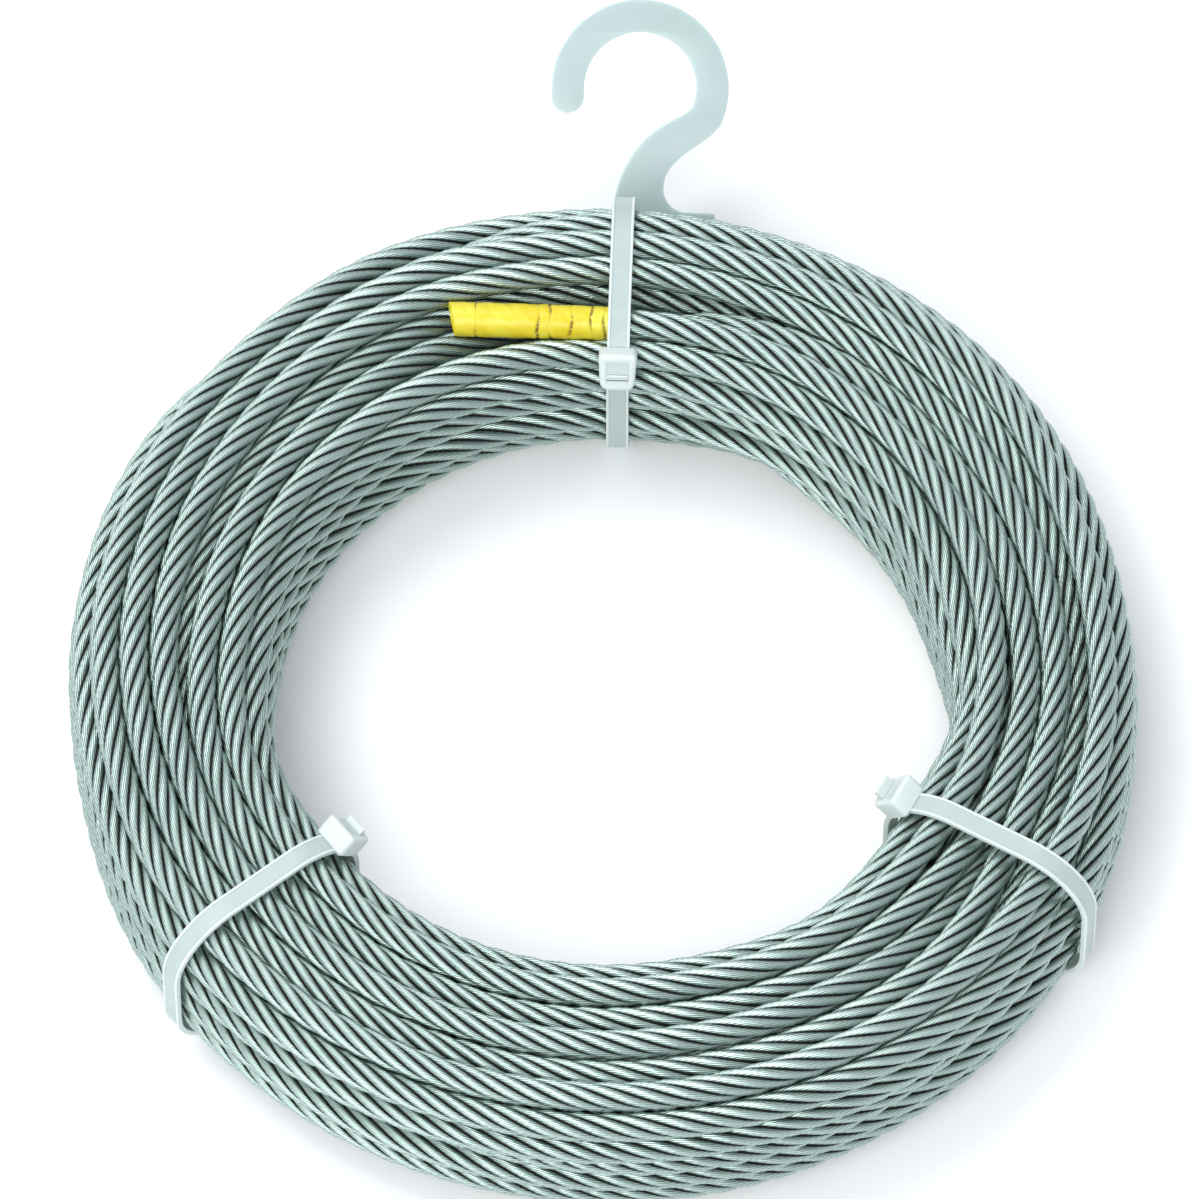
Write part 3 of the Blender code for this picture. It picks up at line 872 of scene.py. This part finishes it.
# The hanging hook
# A flat moulded hook of milky polypropylene. The top tie's strap goes through the slot in its foot, round
# the foot's inner bar, which keeps it against the coil's side.
HOOK_BOW_RADIUS = 0.01465
HOOK_BOW_WIDTH = 0.0066
HOOK_BOW = Vector((0.0023, 0.0249))
HOOK_TIP_DROP = 0.0021
HOOK_STEM = (-0.0024, 0.0076)
HOOK_NECK = Vector((0.0029, -0.0088))
HOOK_FILLET = 0.0048
BOW_OUTER_END = -20
BOW_INNER_END = -12
NECK_SLOPE = 39
# The handles of the outline's curves, as shares of the height or the radius beside each
CHIN_HANDLE = 0.3
WAIST_HANDLE = 1.5
ROOT_HANDLE = 0.4
NECK_HANDLE = 0.31
THROAT_HANDLE = 0.26
FOOT_HEIGHT = 0.0062
FOOT_REACH = 0.0182
FOOT_WALL = 0.0014
FOOT_CORNER = 0.0005
HOOK_ROUNDING = 0.0005
SMOOTH_STEPS = 18
PASSAGE_ROOM = 1.4
WELD_WITHIN = 0.000002
ROUNDED_EDGE = math.radians(60)
HOOK_SHARP_EDGE = math.radians(40)


def hook_outline():
    """The hook's flat outline, clockwise from its tip, in X and Y of its plate."""
    half = HOOK_BOW_WIDTH / 2
    outer, inner = HOOK_BOW_RADIUS + half, HOOK_BOW_RADIUS - half
    root, waist = Vector((HOOK_STEM[0], 0)), Vector((HOOK_STEM[1], HOOK_FILLET))
    neck = HOOK_BOW + HOOK_NECK
    neck_handle = NECK_HANDLE * neck.y * heading(NECK_SLOPE)
    throat_handle = THROAT_HANDLE * inner * heading(BOW_INNER_END + 90)
    right_end = HOOK_BOW + outer * heading(BOW_OUTER_END)
    left_end = HOOK_BOW + inner * heading(BOW_INNER_END)
    points = arc(HOOK_BOW - Vector((HOOK_BOW_RADIUS, HOOK_TIP_DROP)), half, 0, -180, SMOOTH_STEPS)
    points += arc(HOOK_BOW, outer, 180, BOW_OUTER_END, 4 * SMOOTH_STEPS)
    points += interpolate_bezier(
        right_end, right_end + CHIN_HANDLE * outer * heading(BOW_OUTER_END - 90),
        waist + Vector((0, WAIST_HANDLE * HOOK_FILLET)), waist, SMOOTH_STEPS)[1:]
    points += arc(Vector((waist.x + HOOK_FILLET, HOOK_FILLET)), HOOK_FILLET, 180, 270, SMOOTH_STEPS)[1:]
    left, right = FOOT_CORNER - STRAP_WIDTH / 2 - GAP - FOOT_WALL, FOOT_REACH - FOOT_CORNER
    upper, lower = -FOOT_CORNER, FOOT_CORNER - FOOT_HEIGHT
    foot = ((90, (right, upper)), (0, (right, lower)), (-90, (left, lower)), (180, (left, upper)))
    for start, centre in foot:
        points += arc(Vector(centre), FOOT_CORNER, start, start - 90, 4)
    root_handle = Vector((0, ROOT_HANDLE * neck.y))
    points += interpolate_bezier(root, root + root_handle, neck - neck_handle, neck, SMOOTH_STEPS)
    points += interpolate_bezier(
        neck, neck + neck_handle, left_end - throat_handle, left_end, SMOOTH_STEPS)[1:]
    points += arc(HOOK_BOW, inner, BOW_INNER_END, 180, 4 * SMOOTH_STEPS)[1:]
    return points


def flat_object(name, outlines, thickness):
    """A loose flat plate from closed outlines in X and Y, of a thickness along Z."""
    curve = bpy.data.curves.new(name, "CURVE")
    curve.dimensions = "2D"
    curve.fill_mode = "BOTH"
    curve.extrude = thickness / 2
    for outline in outlines:
        spline = curve.splines.new("POLY")
        spline.points.add(len(outline) - 1)
        spline.use_cyclic_u = True
        for point, (x, y) in zip(spline.points, outline):
            point.co = (x, y, 0, 1)
    holder = bpy.data.objects.new(name, curve)
    bpy.context.scene.collection.objects.link(holder)
    mesh = bpy.data.meshes.new_from_object(holder.evaluated_get(bpy.context.evaluated_depsgraph_get()))
    bpy.data.objects.remove(holder)
    shape = bmesh.new()
    shape.from_mesh(mesh)
    bmesh.ops.remove_doubles(shape, verts=shape.verts, dist=WELD_WITHIN)
    bmesh.ops.recalc_face_normals(shape, faces=shape.faces)
    shape.to_mesh(mesh)
    shape.free()
    item = bpy.data.objects.new(name, mesh)
    bpy.context.scene.collection.objects.link(item)
    return item


def hook_mesh():
    """The hook with rounded edges, and with the strap's passage cut through its foot."""
    along = heading(HOOK_TILT)
    origin = bar_centre() + (FOOT_HEIGHT - BAR_WIDTH / 2) * along
    stand = Matrix.Translation((origin.x, 0, origin.y)) @ Matrix.Rotation(math.radians(-HOOK_TILT), 4, "Y")
    plate = flat_object("hook_plate", [hook_outline()], HOOK_THICKNESS)
    plate.matrix_world = tie_frame("top") @ stand @ Matrix.Rotation(math.radians(-90), 4, "Z")
    rounding = plate.modifiers.new("rounding", "BEVEL")
    rounding.width = HOOK_ROUNDING
    rounding.segments = 3
    rounding.limit_method = "ANGLE"
    rounding.angle_limit = ROUNDED_EDGE
    loop = [Vector(point) for point in strap_loop(True)]
    middle = sum(loop, Vector((0, 0))) / len(loop)
    room = PASSAGE_ROOM * (STRAP_THICKNESS / 2 + GAP)
    outside = [point + room * (point - middle).normalized() for point in loop]
    inside = [point - room * (point - middle).normalized() for point in loop]
    passage = flat_object("strap_passage", [outside, inside], STRAP_WIDTH + 2 * GAP)
    passage.matrix_world = tie_frame("top") @ Matrix.Rotation(math.radians(90), 4, "X")
    slot = plate.modifiers.new("strap slot", "BOOLEAN")
    slot.operation = "DIFFERENCE"
    slot.object = passage
    mesh = bpy.data.meshes.new_from_object(plate.evaluated_get(bpy.context.evaluated_depsgraph_get()))
    mesh.transform(plate.matrix_world)
    bpy.data.objects.remove(plate)
    bpy.data.objects.remove(passage)
    mesh.shade_smooth()
    mesh.set_sharp_from_angle(angle=HOOK_SHARP_EDGE)
    return mesh


def milky_plastic():
    """Milky green-blue plastic: faint flow marks from moulding, bluer in patches, with soft scratches."""
    material, shader, start = new_material("milky_plastic", {
        "Subsurface Weight": 0.85, "Subsurface Scale": 0.003, "Subsurface Radius": (0.8, 1.0, 1.0),
        "Specular IOR Level": 0.5})
    place = own_place(start)
    cloud = noise(start, place, 60, 2)
    stretched = start.node("ShaderNodeMapping", {}, {"Vector": place, "Scale": (1, 6, 1)})
    scratches = noise(start, stretched, 700, 4)
    tone = (cloud.ramp(0.3, 0.7) * 0.8 + scratches * 0.2).clipped()
    feed(shader, {
        "Base Color": tone.mixed((0.40, 0.50, 0.475, 1), (0.41, 0.485, 0.50, 1)),
        "Roughness": 0.28 + scratches * 0.2,
        "Normal": bump(start, 0.15, 0.00005, scratches)})
    return material


add_piece("hook", hook_mesh(), milky_plastic(), "hang_hook", "hang_hook")

# The floor and the light
# A plain white board under the coil, in even studio light: one large lamp high up at the far left, another
# in front, and pale light from all round.
FLOOR_HALF = 3.0

floor_mesh = bpy.data.meshes.new("floor")
floor_corners = [(x * FLOOR_HALF, y * FLOOR_HALF, 0) for x, y in ((-1, -1), (1, -1), (1, 1), (-1, 1))]
floor_mesh.from_pydata(floor_corners, [], [(0, 1, 2, 3)])
floor = bpy.data.objects.new("floor", floor_mesh)
bpy.context.scene.collection.objects.link(floor)
board, board_shader, board_start = new_material("white_board", {"Roughness": 0.6})
grain = noise(board_start, own_place(board_start), 30)
feed(board_shader, {"Base Color": grain.mixed((0.92, 0.93, 0.93, 1), (0.95, 0.96, 0.96, 1))})
floor_mesh.materials.append(board)

# Each lamp's name, place, size and power
LAMPS = (("key_light", (-0.65, 0.6, 1.63), 1.3, 18), ("fill_light", (-0.3, -1.2, 1.4), 1.1, 22))
for name, place, size, power in LAMPS:
    light = bpy.data.lights.new(name, "AREA")
    light.size = size
    light.energy = power
    lamp = bpy.data.objects.new(name, light)
    lamp.location = place
    lamp.rotation_euler = (Vector(place) - coil_foot).to_track_quat("Z", "Y").to_euler()
    bpy.context.scene.collection.objects.link(lamp)

world = bpy.data.worlds.new("studio")
world.use_nodes = True
background = world.node_tree.nodes["Background"].inputs
background["Color"].default_value = (0.92, 0.95, 1.0, 1)
background["Strength"].default_value = 0.75
bpy.context.scene.world = world
bpy.context.scene.view_settings.view_transform = "Standard"
